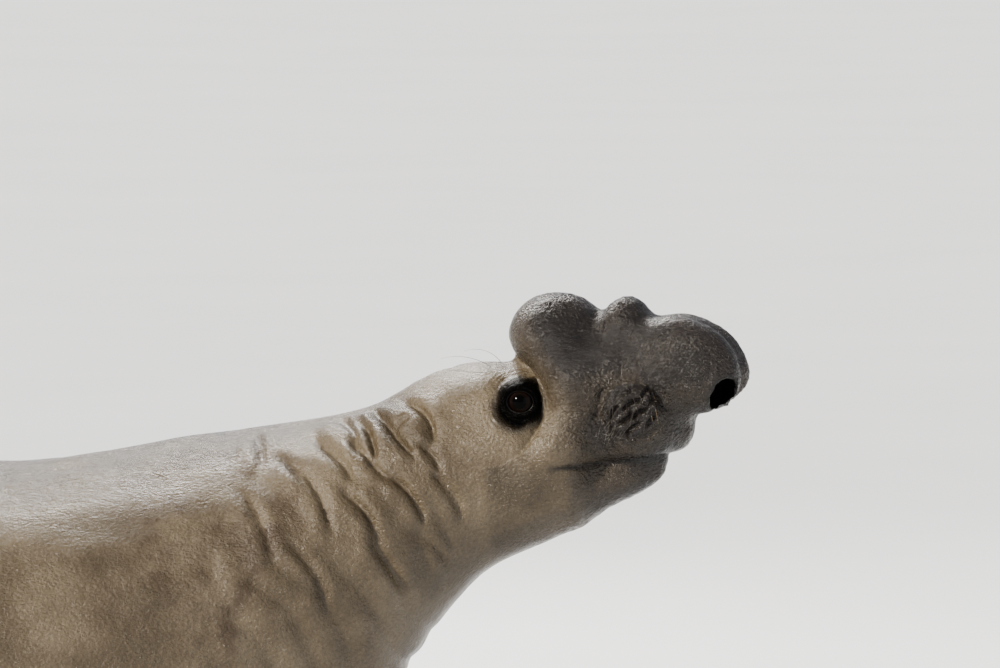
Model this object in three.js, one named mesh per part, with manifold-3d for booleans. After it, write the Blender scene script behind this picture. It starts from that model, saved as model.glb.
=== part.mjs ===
// A life-size bull southern elephant seal with its trunk blown up, lying on its belly with its head raised.
// Millimetres. +X runs from the tail to the nose, +Y to the seal's left, +Z up, and the floor is z = 0.
// The flesh is one distance field of blended ellipsoids. It is meshed a region at a time, then parted by thin
// plane cuts. The head is worked out in its own frame: x forward, y left, z up, from the point between its eyes.
import * as THREE from 'three';
import Module from 'manifold-3d';
import { mergeVertices } from 'three/addons/utils/BufferGeometryUtils.js';

const wasm = await Module();
wasm.setup();

const gap = 0.3; // between touching pieces
const sliver = 0.05; // detail smaller than this is merged away
const deg = Math.PI / 180;

// Driving sizes
const eyeHeight = 1000;
const headYaw = 15 * deg; // the head is turned to the seal's right
const neckTurnStart = -800; // where the neck starts to bend to that side
const tailSwingStart = -2500; // where the hips start to curve to the left
const tailSwing = 130;
const tailEnd = -4040;
const eyeRadius = 37;
const eyeSpread = 106; // each eyeball's centre from the midline
const lid = { across: 33, tall: 27, thick: 7, out: 127 };
const nostril = { at: [436, 58, 20], r: [50, 31, 41], out: 42 * deg, down: 16 * deg };
const ear = { at: [-98, 150, -46], r: [9, 26, 7] };

// The trunk's stations from the head to the tail: where it is, its top, its half width and its underside.
// An underside below the floor makes the flat that the seal lies on.
const trunkStations = [
  { x: 60, top: 985, half: 110, bottom: 760 },
  { x: -90, top: 1022, half: 160, bottom: 640 },
  { x: -230, top: 1022, half: 242, bottom: 480 },
  { x: -400, top: 958, half: 352, bottom: 230 },
  { x: -640, top: 911, half: 468, bottom: 20 },
  { x: -900, top: 876, half: 535, bottom: -24 },
  { x: -1180, top: 843, half: 580, bottom: -32 },
  { x: -1700, top: 838, half: 600, bottom: -38 },
  { x: -2300, top: 765, half: 540, bottom: -30 },
  { x: -2900, top: 612, half: 415, bottom: -22 },
  { x: -3400, top: 442, half: 288, bottom: -14 },
  { x: -3720, top: 310, half: 190, bottom: 0 },
  { x: -3930, top: 220, half: 105, bottom: 40 },
];

// Small helpers
const clamp = (v, lo, hi) => Math.min(hi, Math.max(lo, v));
const smoothstep = (a, b, v) => {
  const t = clamp((v - a) / (b - a), 0, 1);
  return t * t * (3 - 2 * t);
};
const bell = (v, width) => Math.exp(-(v * v) / (2 * width * width));

function join(a, b, blend) {
  const h = Math.max(blend - Math.abs(a - b), 0) / blend;
  return Math.min(a, b) - (h * h * blend) / 4;
}

// Distance to an ellipsoid that is pitched about the Y axis, nose up for a positive pitch
function ellipsoid(x, y, z, { at, r, pitch = 0 }) {
  const c = Math.cos(pitch);
  const s = Math.sin(pitch);
  const dx = x - at[0];
  const dy = y - at[1];
  const dz = z - at[2];
  const u = (dx * c + dz * s) / r[0];
  const v = dy / r[1];
  const w = (-dx * s + dz * c) / r[2];
  const k0 = Math.hypot(u, v, w);
  const k1 = Math.hypot(u / r[0], v / r[1], w / r[2]);
  return k1 < 1e-9 ? -Math.min(...r) : (k0 * (k0 - 1)) / k1;
}

// The trunk
function midlineY(x) {
  const neck = Math.max(x - neckTurnStart, 0);
  const tail = Math.max(tailSwingStart - x, 0) / (tailSwingStart - tailEnd);
  return (-Math.tan(headYaw) * neck * neck) / (-2 * neckTurnStart) + tailSwing * tail * tail;
}

// A smooth curve through the stations, with slopes that never overshoot them
function stationAt(x) {
  const s = trunkStations;
  const at = clamp(x, s[s.length - 1].x, s[0].x);
  const i = clamp(s.findIndex((p) => p.x <= at) - 1, 0, s.length - 2);
  const span = s[i + 1].x - s[i].x;
  const t = (at - s[i].x) / span;
  const slope = (j, key) => {
    const a = s[Math.max(j - 1, 0)];
    const b = s[Math.min(j + 1, s.length - 1)];
    return (b[key] - a[key]) / (b.x - a.x);
  };
  const value = (key) => {
    const m0 = slope(i, key) * span;
    const m1 = slope(i + 1, key) * span;
    const d = s[i + 1][key] - s[i][key];
    return s[i][key] + t * (m0 + t * (3 * d - 2 * m0 - m1 + t * (m0 + m1 - 2 * d)));
  };
  return { top: value('top'), half: value('half'), bottom: value('bottom') };
}

function trunk(x, y, z) {
  const s = stationAt(x);
  const half = s.half;
  const mid = (s.top + s.bottom) / 2;
  const tall = (s.top - s.bottom) / 2;
  const power = z > mid ? 2.15 : 2.7; // fuller below, where the blubber spreads
  const u = Math.abs(y - midlineY(x)) / half;
  const w = Math.abs(z - mid) / tall;
  const level = (u ** power + w ** power) ** (1 / power);
  const body = (level - 1) * Math.min(half, tall);
  const ends = Math.max(x - trunkStations[0].x, trunkStations[trunkStations.length - 1].x - x);
  return Math.max(body, ends);
}

// The head and its trunk, in the head's frame. A lump with y in it is made on both sides.
const skull = [
  { at: [-80, 0, -42], r: [190, 140, 112] },
  { at: [-70, 0, -190], r: [240, 150, 140], pitch: 0.15 },
];
const cheeks = { at: [-40, 72, -105], r: [140, 88, 105] };
const muzzleCore = { at: [186, 0, -74], r: [172, 112, 82], pitch: 0.1 };
const whiskerPads = { at: [246, 66, -38], r: [86, 62, 86], pitch: 0.1 };
const jaw = { at: [102, 0, -178], r: [196, 88, 66], pitch: 0.2 };
const noseBase = { at: [150, 48, 40], r: [150, 84, 96], pitch: -0.05 };
const rearBulb = { at: [52, 0, 136], r: [108, 98, 95] };
const middleBulb = { at: [207, 0, 146], r: [60, 76, 80] };
const noseLobes = { at: [342, 38, 82], r: [134, 70, 100], pitch: -0.42 };
const noseBridge = { at: [215, 0, 70], r: [170, 92, 96], pitch: -0.06 };

// Hollows and lines pressed into the head's surface
const eyeHollow = { at: [8, 160, 0], reach: 48, depth: 26 };
const earHollow = { at: [-96, 172, -46], reach: 24, depth: 10 };
const mouth = { corner: [70, -143], front: [352, -112], width: 11, depth: 8 };
// The face stands up in front of the eye as a rim, from the nape round to below the eye
const faceFold = { at: [-66, -20], radius: 117, width: 13, depth: 9, low: -40 * deg, high: 84 * deg, fade: 14 * deg };

const both = (x, y, z, part) => ellipsoid(x, Math.abs(y), z, part);
const near = (x, y, z, pit) => bell(
  Math.hypot(x - pit.at[0], Math.abs(y) - pit.at[1], z - pit.at[2]), pit.reach,
) * pit.depth;

// Height above the line from a to b in the head's side view, and the share of the way along it
function besideLine(x, z, a, b) {
  const dx = b[0] - a[0];
  const dz = b[1] - a[1];
  const long = Math.hypot(dx, dz);
  return { off: ((z - a[1]) * dx - (x - a[0]) * dz) / long, share: ((x - a[0]) * dx + (z - a[1]) * dz) / long ** 2 };
}

function head(x, y, z) {
  let d = join(ellipsoid(x, y, z, skull[0]), ellipsoid(x, y, z, skull[1]), 90);
  d = join(d, both(x, y, z, cheeks), 70);
  let face = join(ellipsoid(x, y, z, muzzleCore), both(x, y, z, whiskerPads), 26);
  face = join(face, ellipsoid(x, y, z, jaw), 22);
  d = join(d, face, 60);
  let nose = join(ellipsoid(x, y, z, noseBridge), both(x, y, z, noseBase), 40);
  nose = join(nose, ellipsoid(x, y, z, rearBulb), 30);
  nose = join(nose, ellipsoid(x, y, z, middleBulb), 26);
  const halves = Math.sqrt(y * y + 30); // rounds the groove between the two lobes
  nose = join(nose, ellipsoid(x, halves, z, noseLobes), 26);
  d = join(d, nose, 44);

  d += near(x, y, z, eyeHollow) + near(x, y, z, earHollow);
  const lips = besideLine(x, z, mouth.corner, mouth.front);
  d += mouth.depth * bell(lips.off, mouth.width) * smoothstep(-0.05, 0.15, lips.share);
  const turn = Math.atan2(z - faceFold.at[1], x - faceFold.at[0]);
  const offFold = Math.hypot(x - faceFold.at[0], z - faceFold.at[1]) - faceFold.radius;
  const alongFold = smoothstep(faceFold.low - faceFold.fade, faceFold.low + faceFold.fade, turn)
    * smoothstep(faceFold.high + faceFold.fade, faceFold.high - faceFold.fade / 3, turn);
  return d + faceFold.depth * bell(offFold, faceFold.width) * alongFold;
}

// Shoulders and ankles, where the flippers root
const shoulders = { at: [-840, 430, 250], r: [220, 130, 170] };
const ankles = { at: [-3860, 92, 118], r: [270, 92, 108] };

const headOrigin = new THREE.Vector3(0, midlineY(0), eyeHeight);
const toHead = new THREE.Matrix4().makeRotationZ(-headYaw).setPosition(headOrigin).invert();
const fromHead = toHead.clone().invert();
const h = toHead.elements;

function flesh(x, y, z) {
  let d = trunk(x, y, z);
  if (x > -700) {
    const hx = h[0] * x + h[4] * y + h[12];
    const hy = h[1] * x + h[5] * y + h[13];
    d = join(d, head(hx, hy, z - eyeHeight), 80);
  }
  if (x < -400) {
    const side = Math.abs(y - midlineY(x));
    d = join(d, ellipsoid(x, side, z, x > -2000 ? shoulders : ankles), 80);
  }
  return Math.max(d, -z);
}

// The outward slope of a field at a point
function slopeAt(field, [x, y, z]) {
  const e = 0.5;
  return [
    (field(x + e, y, z) - field(x - e, y, z)) / (2 * e),
    (field(x, y + e, z) - field(x, y - e, z)) / (2 * e),
    (field(x, y, z + e) - field(x, y, z - e)) / (2 * e),
  ];
}

// Solids
function solidOf(geometry) {
  const bare = new THREE.BufferGeometry();
  bare.setAttribute('position', geometry.getAttribute('position'));
  if (geometry.index) bare.setIndex(geometry.index);
  const merged = mergeVertices(bare, 1e-3);
  return new wasm.Manifold(new wasm.Mesh({
    numProp: 3,
    vertProperties: merged.attributes.position.array,
    triVerts: new Uint32Array(merged.index.array),
  }));
}

function indexedGeometryOf(solid) {
  const mesh = solid.getMesh();
  const geometry = new THREE.BufferGeometry();
  geometry.setAttribute('position', new THREE.BufferAttribute(new Float32Array(mesh.vertProperties), 3));
  geometry.setIndex(new THREE.BufferAttribute(new Uint32Array(mesh.triVerts), 1));
  geometry.computeVertexNormals();
  return geometry;
}

// The largest body of a solid, with the slivers that cuts leave merged away
const largest = (solid) => solid.decompose().sort((a, b) => b.volume() - a.volume())[0].simplify(sliver);

// The same solid with every vertex moved out
function swollen(solid, by) {
  const geometry = indexedGeometryOf(solid);
  const { position, normal } = geometry.attributes;
  for (let i = 0; i < position.count; i += 1) {
    position.setXYZ(
      i,
      position.getX(i) + by * normal.getX(i),
      position.getY(i) + by * normal.getY(i),
      position.getZ(i) + by * normal.getZ(i),
    );
  }
  return solidOf(geometry);
}

// A solid cut clear of its neighbour
const clearOf = (solid, neighbour) => solid.subtract(swollen(neighbour, 2 * gap)).subtract(neighbour);

// The field's surface inside a box, as one closed mesh. A point in each cell that the surface crosses is drawn
// onto it, and the points round each crossed edge of the grid make a quad.
function meshField(field, lo, hi, cell) {
  const n = [0, 1, 2].map((k) => Math.ceil((hi[k] - lo[k]) / cell) + 2);
  const at = (i, j, k) => (k * n[1] + j) * n[0] + i;
  const place = (i, k) => lo[k] + (i - 0.5) * cell;
  const value = new Float64Array(n[0] * n[1] * n[2]).fill(cell);
  for (let k = 1; k < n[2] - 1; k += 1) {
    for (let j = 1; j < n[1] - 1; j += 1) {
      for (let i = 1; i < n[0] - 1; i += 1) value[at(i, j, k)] = field(place(i, 0), place(j, 1), place(k, 2));
    }
  }
  const corners = [0, 1, 2, 3, 4, 5, 6, 7].map((c) => [c & 1, (c >> 1) & 1, (c >> 2) & 1]);
  const edges = [];
  corners.forEach((c, a) => [1, 2, 4].forEach((step) => { if (!(a & step)) edges.push([a, a | step]); }));

  const points = [];
  const pointOf = new Map();
  function addPoint(i, j, k) {
    const v = corners.map((c) => value[at(i + c[0], j + c[1], k + c[2])]);
    const crossed = edges.filter(([a, b]) => (v[a] < 0) !== (v[b] < 0));
    if (!crossed.length) return;
    const sum = [0, 0, 0];
    crossed.forEach(([a, b]) => {
      const t = v[a] / (v[a] - v[b]);
      for (let q = 0; q < 3; q += 1) sum[q] += corners[a][q] + t * (corners[b][q] - corners[a][q]);
    });
    const point = [i, j, k].map((c, q) => place(c + sum[q] / crossed.length, q));
    const inside = [i, j, k].every((c, q) => c > 0 && c < n[q] - 2);
    for (let round = 0; round < 3 && inside; round += 1) {
      const slope = slopeAt(field, point);
      const move = clamp(field(...point) / (slope[0] ** 2 + slope[1] ** 2 + slope[2] ** 2 + 1e-6), -cell / 4, cell / 4);
      for (let q = 0; q < 3; q += 1) point[q] -= move * slope[q];
    }
    point[2] = Math.max(point[2], lo[2] < 0 ? 0 : lo[2]);
    pointOf.set(at(i, j, k), points.length / 3);
    points.push(...point);
  }
  for (let k = 0; k < n[2] - 1; k += 1) {
    for (let j = 0; j < n[1] - 1; j += 1) for (let i = 0; i < n[0] - 1; i += 1) addPoint(i, j, k);
  }

  const index = [];
  const step = [1, n[0], n[0] * n[1]];
  function addQuads(here) {
    for (let axis = 0; axis < 3; axis += 1) {
      const next = here + step[axis];
      if ((value[here] < 0) === (value[next] < 0)) continue;
      const u = step[(axis + 1) % 3];
      const w = step[(axis + 2) % 3];
      const ring = [here, here - u, here - u - w, here - w].map((c) => pointOf.get(c));
      if (value[here] >= 0) ring.reverse();
      index.push(ring[0], ring[1], ring[2], ring[0], ring[2], ring[3]);
    }
  }
  for (let k = 0; k < n[2] - 1; k += 1) {
    for (let j = 0; j < n[1] - 1; j += 1) for (let i = 0; i < n[0] - 1; i += 1) addQuads(at(i, j, k));
  }
  const geometry = new THREE.BufferGeometry();
  geometry.setAttribute('position', new THREE.Float32BufferAttribute(points, 3));
  geometry.setIndex(index);
  return largest(solidOf(geometry));
}

// Spaces that part a solid. A space is a function of how far its faces are drawn in.
const blockSize = 9000;
function beyond(point, normal) {
  const turn = new THREE.Quaternion().setFromUnitVectors(new THREE.Vector3(0, 0, 1), normal.clone().normalize());
  return (drawnIn) => solidOf(new THREE.BoxGeometry(blockSize, blockSize, blockSize)
    .translate(0, 0, blockSize / 2 + drawnIn)
    .applyQuaternion(turn)
    .translate(point.x, point.y, point.z));
}
const either = (a, b) => (drawnIn) => a(drawnIn).add(b(drawnIn));
const common = (a, b) => (drawnIn) => a(drawnIn).intersect(b(drawnIn));
// [what is in the space, what is outside it], with the gap between them
const parted = (solid, space) => [solid.intersect(space(gap / 2)), solid.subtract(space(-gap / 2))];

const headPoint = (x, y, z) => new THREE.Vector3(x, y, z).applyMatrix4(fromHead);
const headWay = (x, y, z) => new THREE.Vector3(x, y, z).transformDirection(fromHead);
const beyondInHead = (point, normal) => beyond(headPoint(...point), headWay(...normal));

// A cut across the trunk, square to its midline
function beyondInTrunk(x) {
  const ahead = new THREE.Vector3(10, midlineY(x + 5) - midlineY(x - 5), 0);
  return beyond(new THREE.Vector3(x, midlineY(x), 0), ahead);
}

const aheadOfNeck = beyondInHead([-165, 0, 0], [1, 0, 0.12]);
const aheadOfCheeks = beyondInHead([112, 0, 0], [1, 0, 0.25]);
const noseSpace = either(
  beyondInHead([-64, 0, 88], [Math.sin(7 * deg), 0, Math.cos(7 * deg)]),
  beyondInHead([322, 0, 18], [1, 0, 0.72]),
);
const jawSpace = common(
  beyondInHead(
    [mouth.corner[0], 0, mouth.corner[1]],
    [mouth.front[1] - mouth.corner[1], 0, mouth.corner[0] - mouth.front[0]],
  ),
  beyondInHead([84, 0, -143], [1, 0, -0.5]),
);

const cellSizes = { head: 24, neck: 54, trunk: 100 };
const headLump = meshField(flesh, [-330, -470, 600], [500, 170, 1260], cellSizes.head);
const neckLump = meshField(flesh, [-800, -620, -60], [-60, 560, 1120], cellSizes.neck);
const trunkLump = meshField(flesh, [-4240, -720, -90], [-500, 720, 1000], cellSizes.trunk);

// A ball with its own radii, turned in the head's frame. A right-hand one is mirrored.
function headBall({ at, r, out = 0, down = 0 }, side, round = 18, rings = 12) {
  const ball = new THREE.SphereGeometry(1, round, rings).rotateX(Math.PI / 2).scale(...r);
  ball.rotateY(down).rotateZ(side * out).translate(at[0], side * at[1], at[2]);
  return solidOf(ball.applyMatrix4(fromHead));
}

// The lids are a ring round the opening, over the front of the eyeball
function lidRing(side) {
  const ring = new THREE.TorusGeometry(1, lid.thick / lid.across, 6, 22).rotateX(Math.PI / 2);
  ring.scale(lid.across, lid.across, lid.tall).rotateZ(side * 0.1);
  return solidOf(ring.translate(2, side * lid.out, 0).applyMatrix4(fromHead));
}

const sides = { left: 1, right: -1 };
const eyeball = (side, more = 0) => headBall(
  { at: [0, eyeSpread, 0], r: [eyeRadius + more, eyeRadius + more, eyeRadius + more] }, side,
);

function headSolids() {
  const [front] = parted(headLump, aheadOfNeck);
  const [nose, belowNose] = parted(front, noseSpace);
  const [lowerJaw, rest] = parted(belowNose, jawSpace);
  const [muzzle, back] = parted(rest, aheadOfCheeks);
  let head = largest(back);
  let proboscis = largest(nose);
  Object.values(sides).forEach((side) => {
    head = head.add(lidRing(side)).subtract(eyeball(side, gap)).subtract(headBall(ear, side, 10, 8));
    proboscis = proboscis.subtract(headBall(nostril, side));
  });
  return { head: largest(head), proboscis, muzzle: largest(muzzle), lower_jaw: largest(lowerJaw) };
}

function trunkSolids() {
  const [, neckAndBack] = parted(neckLump, aheadOfNeck);
  const [neck] = parted(neckAndBack, beyondInTrunk(-650));
  const [, chestAndBack] = parted(trunkLump, beyondInTrunk(-650));
  const [chest, bellyAndBack] = parted(chestAndBack, beyondInTrunk(-1300));
  const [belly, hipsAndBack] = parted(bellyAndBack, beyondInTrunk(-2350));
  const [hips, rump] = parted(hipsAndBack, beyondInTrunk(-3350));
  return {
    neck: largest(neck), chest: largest(chest), belly: largest(belly), hips: largest(hips), rump: largest(rump),
  };
}

// Flippers. A flipper is a closed tube drawn flat: its length follows a path, its width is spread by digit, and
// its upper side has a ridge over each digit.
const digits = 5;
const foreFlipper = {
  path: [[-800, 400, 250], [-850, 550, 150], [-930, 668, 46], [-1060, 765, 16], [-1190, 828, 13]],
  width: [92, 118, 130, 112],
  thick: [58, 40, 21, 11],
  shorter: (v) => 0.17 * (1 - v) * 0.5 + 0.05 * (1 + v) * 0.5,
  scallop: 0.035,
  ridge: 5,
};
const hindFlipper = {
  path: [[-3800, 96, 130], [-3960, 112, 100], [-4130, 150, 48], [-4290, 200, 20], [-4440, 250, 15]],
  width: [62, 84, 130, 196],
  thick: [70, 44, 20, 10],
  shorter: (v) => 0.2 * (1 - v * v),
  scallop: 0.05,
  ridge: 5,
};

const along = (sizes, u) => {
  const at = clamp(u, 0, 1) * (sizes.length - 1);
  const i = Math.min(Math.floor(at), sizes.length - 2);
  return sizes[i] + (sizes[i + 1] - sizes[i]) * smoothstep(0, 1, at - i);
};
const digitWave = (v) => Math.cos(Math.PI * digits * (v + 1)) * -0.5 + 0.5;

function flipperCurve({ path }, side) {
  return new THREE.CatmullRomCurve3(path.map(([x, y, z]) => new THREE.Vector3(x, midlineY(x) + side * y, z)));
}

// A point on the flipper: u along it, v across it from -1 at the back to 1 in front, lift -1 below to 1 above
function flipperPoint(form, curve, side, u, v, lift) {
  const reach = 1 - form.shorter(v) - form.scallop * (1 - digitWave(v));
  const t = u * reach;
  const ahead = curve.getTangentAt(t);
  const across = new THREE.Vector3(-ahead.y, ahead.x, 0).normalize().multiplyScalar(-side);
  const up = new THREE.Vector3().crossVectors(ahead, across).multiplyScalar(side).normalize();
  if (up.z < 0) up.negate();
  const edge = Math.sqrt(Math.max(1 - v * v, 0.0));
  const ridge = form.ridge * digitWave(v) * smoothstep(0.2, 0.6, u) * (lift > 0 ? 1 : 0.3) * (edge > 0 ? 1 : 0);
  const half = along(form.thick, t) * (edge ** 0.6) * smoothstep(1.12, 0.86, u) + ridge * Math.abs(lift) * edge;
  const point = curve.getPointAt(t);
  point.addScaledVector(across, v * along(form.width, t)).addScaledVector(up, lift * half);
  point.z = Math.max(point.z, 0);
  return point;
}

function flipperSolid(form, side) {
  const curve = flipperCurve(form, side);
  const tube = new THREE.CylinderGeometry(1, 1, 1, 26, 9);
  const { position } = tube.attributes;
  for (let i = 0; i < position.count; i += 1) {
    const v = clamp(position.getX(i), -1, 1);
    const round = Math.sqrt(Math.max(1 - v * v, 0));
    const lift = round > 1e-3 ? clamp(position.getZ(i) / round, -1, 1) : 0;
    const point = flipperPoint(form, curve, side, position.getY(i) + 0.5, v, lift);
    position.setXYZ(i, point.x, point.y, point.z);
  }
  const solid = solidOf(tube);
  if (solid.volume() > 0) return solid;
  tube.setIndex(Array.from(tube.index.array).reverse());
  return solidOf(tube);
}

// The claw of one digit of a fore flipper: a bent cone set into the tip of its ridge
const claw = { long: 58, radius: 9, bend: 10, sunk: 14 };
function clawSolid(side, digit) {
  const curve = flipperCurve(foreFlipper, side);
  const v = ((digit + 0.5) * 2) / digits - 1;
  const tip = flipperPoint(foreFlipper, curve, side, 0.97, v, 0.5);
  const back = flipperPoint(foreFlipper, curve, side, 0.85, v, 0.5);
  const ahead = tip.clone().sub(back).normalize();
  const cone = new THREE.ConeGeometry(claw.radius, claw.long, 8, 3);
  const { position } = cone.attributes;
  for (let i = 0; i < position.count; i += 1) {
    const t = position.getY(i) / claw.long + 0.5;
    position.setZ(i, position.getZ(i) - claw.bend * t * t);
  }
  cone.rotateX(Math.PI / 2); // its point now runs along +Z, and its bend down -Y
  const basis = new THREE.Matrix4().makeBasis(
    new THREE.Vector3().crossVectors(new THREE.Vector3(0, 0, 1), ahead).normalize(),
    new THREE.Vector3(0, 0, 1), ahead,
  );
  cone.applyMatrix4(basis);
  const root = tip.clone().addScaledVector(ahead, claw.long / 2 - claw.sunk);
  root.z = Math.max(root.z, claw.radius + 6);
  return solidOf(cone.translate(root.x, root.y, root.z));
}

const skin = new THREE.MeshStandardMaterial({ color: 0x8a7d6e, roughness: 0.45, metalness: 0 });
const darkSkin = new THREE.MeshStandardMaterial({ color: 0x4a4440, roughness: 0.4, metalness: 0 });
const eyeGloss = new THREE.MeshStandardMaterial({ color: 0x0c0a09, roughness: 0.06, metalness: 0 });
const horn = new THREE.MeshStandardMaterial({ color: 0x2a2420, roughness: 0.5, metalness: 0 });

const seal = new THREE.Group();
function add(name, solid, material) {
  const mesh = new THREE.Mesh(indexedGeometryOf(solid), material);
  mesh.name = name;
  seal.add(mesh);
  return solid;
}

const headParts = headSolids();
Object.entries(headParts).forEach(([name, solid]) => add(name, solid, name === 'proboscis' ? darkSkin : skin));
const trunkParts = trunkSolids();
Object.entries(trunkParts).forEach(([name, solid]) => add(name, solid, skin));

const tailBall = new THREE.SphereGeometry(1, 16, 12).scale(125, 46, 26);
const tail = clearOf(solidOf(tailBall.translate(-3960, midlineY(-3960), 120)), trunkParts.rump);
add('tail', largest(tail), skin);
Object.entries(sides).forEach(([name, side]) => {
  add(`eye_${name}`, eyeball(side), eyeGloss);
  let fore = clearOf(flipperSolid(foreFlipper, side), trunkParts.chest);
  for (let digit = 0; digit < digits; digit += 1) {
    fore = clearOf(fore, add(`claw_${name}_${digit + 1}`, clawSolid(side, digit), horn));
  }
  add(`fore_flipper_${name}`, largest(fore), skin);
  add(`hind_flipper_${name}`, largest(clearOf(flipperSolid(hindFlipper, side), trunkParts.rump)), skin);
});

// The origin is on the floor, under the middle of the seal
const middle = new THREE.Box3().setFromObject(seal).getCenter(new THREE.Vector3());
seal.position.set(-middle.x, -middle.y, 0);

export default seal;
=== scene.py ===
# A life-size bull elephant seal with its trunk blown up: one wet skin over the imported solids,
# dark eyes, horn claws, short whiskers and a few long brow hairs.
import math
import random

import bmesh
import bpy
import numpy as np
from mathutils import Matrix, Vector
from mathutils.bvhtree import BVHTree


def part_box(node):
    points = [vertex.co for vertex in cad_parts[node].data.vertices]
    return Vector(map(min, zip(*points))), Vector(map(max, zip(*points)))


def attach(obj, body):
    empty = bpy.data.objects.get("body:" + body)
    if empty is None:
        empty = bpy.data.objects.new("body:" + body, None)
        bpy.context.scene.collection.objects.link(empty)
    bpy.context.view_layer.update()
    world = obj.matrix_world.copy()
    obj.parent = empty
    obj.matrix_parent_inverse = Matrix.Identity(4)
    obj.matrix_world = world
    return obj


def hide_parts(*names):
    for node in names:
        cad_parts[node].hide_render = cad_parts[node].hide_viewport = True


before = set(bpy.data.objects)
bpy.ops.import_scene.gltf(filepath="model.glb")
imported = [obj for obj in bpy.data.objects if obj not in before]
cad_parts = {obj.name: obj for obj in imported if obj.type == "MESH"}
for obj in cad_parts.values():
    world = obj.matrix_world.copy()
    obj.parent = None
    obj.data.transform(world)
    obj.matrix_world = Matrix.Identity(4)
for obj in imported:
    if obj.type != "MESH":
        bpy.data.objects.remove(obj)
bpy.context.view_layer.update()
print("frame loaded")


# The head's own frame, in millimetres: x ahead, y left, z up, from the point between the eyes
def middleOf(node):
    low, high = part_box(node)
    return (low + high) / 2


eyeMiddle = {"Left": middleOf("eye_left"), "Right": middleOf("eye_right")}
headAt = (eyeMiddle["Left"] + eyeMiddle["Right"]) / 2
headLeft = (eyeMiddle["Left"] - eyeMiddle["Right"]).normalized()
headAhead = headLeft.cross(Vector((0, 0, 1))).normalized()
headAxes = np.array([headAhead, headLeft, (0, 0, 1)])
sides = {"Left": 1, "Right": -1}
mm = 0.001


def inHead(points):
    return (np.asarray(points) - np.array(headAt)) @ headAxes.T / mm


def fromHead(points):
    return np.asarray(points) * mm @ headAxes + np.array(headAt)


def unit(way):
    return way / np.linalg.norm(way)


# Shaping helpers, on whole arrays
def bell(v, width):
    return np.exp(-0.5 * (v / width) ** 2)


def ramp(v, start, end):
    t = np.clip((v - start) / (end - start), 0, 1)
    return t * t * (3 - 2 * t)


def profile(off, bumps):  # a fold's cross-section as a sum of bells: height, place, width
    return sum(height * bell(off - at, width) for height, at, width in bumps)


def hashed(i, j, k, seed):  # a steady value from -1 to 1 for each corner of the noise's grid
    n = i * 73856093 ^ j * 19349663 ^ k * 83492791 ^ seed * 97531
    n = (n ^ n >> 13) * 1274126177
    return (n ^ n >> 16) % 65536 / 32768 - 1


def noise(points, size, seed):  # smooth noise from -1 to 1, one value a point
    places = points / size
    base = np.floor(places).astype(np.int64)
    share = places - base
    share = share * share * (3 - 2 * share)
    total = np.zeros(len(points))
    for corner in range(8):
        step = np.array([corner & 1, corner >> 1 & 1, corner >> 2 & 1])
        weight = np.prod(np.where(step == 1, share, 1 - share), axis=1)
        total += weight * hashed(*(base + step).T, seed)
    return total


def swells(points, waves):  # a sum of smooth noises: height, size, seed
    return sum(height * noise(points, size, seed) for height, size, seed in waves)


# Skin: copies of the flesh, remeshed as one closed surface
skinBase = {
    "voxel": 0.0178,
    # how fine the grid is along the body: (x in metres, how many times finer)
    "grid": [(-2.7, 1.15), (-1.75, 1.05), (-1.3, 0.55), (0.55, 0.55), (0.85, 0.95), (1.3, 1.0),
             (1.55, 1.4), (1.8, 2.0), (2.7, 2.05)],
    "gridReach": 2.8, "gridSteps": 1400,
    "blendSteps": 60, "blendWidth": 0.09,  # a sudden change of the grid would show as a ring
    "mergeWithin": 1e-5,
    "swell": 0.0005,  # closes the gaps between the nodes before they are joined
    "longestEdge": 0.06, "cutRounds": 3,
    "rounds": 26, "steps": (0.5, -0.52),  # smoothing: a step in and a step out, so nothing shrinks
    "softness": [(1.3, 1), (1.75, 0.8), (1.95, 0.5)],  # share of the smoothing along the body
    "flipperHold": 0.6, "flipperReach": 0.05,  # less smoothing on the thin flippers
}
fleshNodes = [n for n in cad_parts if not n.startswith(("eye_", "claw_"))]

gridX = np.linspace(-skinBase["gridReach"], skinBase["gridReach"], skinBase["gridSteps"] + 1)
gridStep = gridX[1] - gridX[0]
blendSteps = skinBase["blendSteps"]
gridScale = np.pad(np.interp(gridX, *np.array(skinBase["grid"]).T), blendSteps, mode="edge")
gridBlend = bell(np.arange(-blendSteps, blendSteps + 1) * gridStep, skinBase["blendWidth"])
gridScale = np.convolve(gridScale, gridBlend / gridBlend.sum(), mode="valid")
gridLong = np.cumsum(gridScale) * gridStep


def coordinates(mesh):
    co = np.empty(len(mesh.vertices) * 3, np.float32)
    mesh.vertices.foreach_get("co", co)
    return co.reshape(-1, 3).astype(float)


def setCoordinates(mesh, points):
    mesh.vertices.foreach_set("co", points.astype(np.float32).ravel())
    mesh.update()


def normalsOf(mesh):
    normals = np.empty(len(mesh.vertices) * 3, np.float32)
    mesh.vertex_normals.foreach_get("vector", normals)
    return normals.reshape(-1, 3).astype(float)


def edgesOf(mesh):
    edges = np.empty(len(mesh.edges) * 2, np.int32)
    mesh.edges.foreach_get("vertices", edges)
    return edges.reshape(-1, 2)


def stretched(points):  # into the space where the remesh is finer on the head
    x, y, z = points.T
    scale = np.interp(x, gridX, gridScale)
    return np.column_stack([np.interp(x, gridX, gridLong), y * scale, z * scale])


def unstretched(points):
    x = np.interp(points[:, 0], gridLong, gridX)
    scale = np.interp(x, gridX, gridScale)
    return np.column_stack([x, points[:, 1] / scale, points[:, 2] / scale])


def newObject(name, mesh):
    made = bpy.data.objects.new(name, mesh)
    bpy.context.scene.collection.objects.link(made)
    return made


def meshOf(bm, name):
    mesh = bpy.data.meshes.new(name)
    bm.to_mesh(mesh)
    bm.free()
    return mesh


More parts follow.
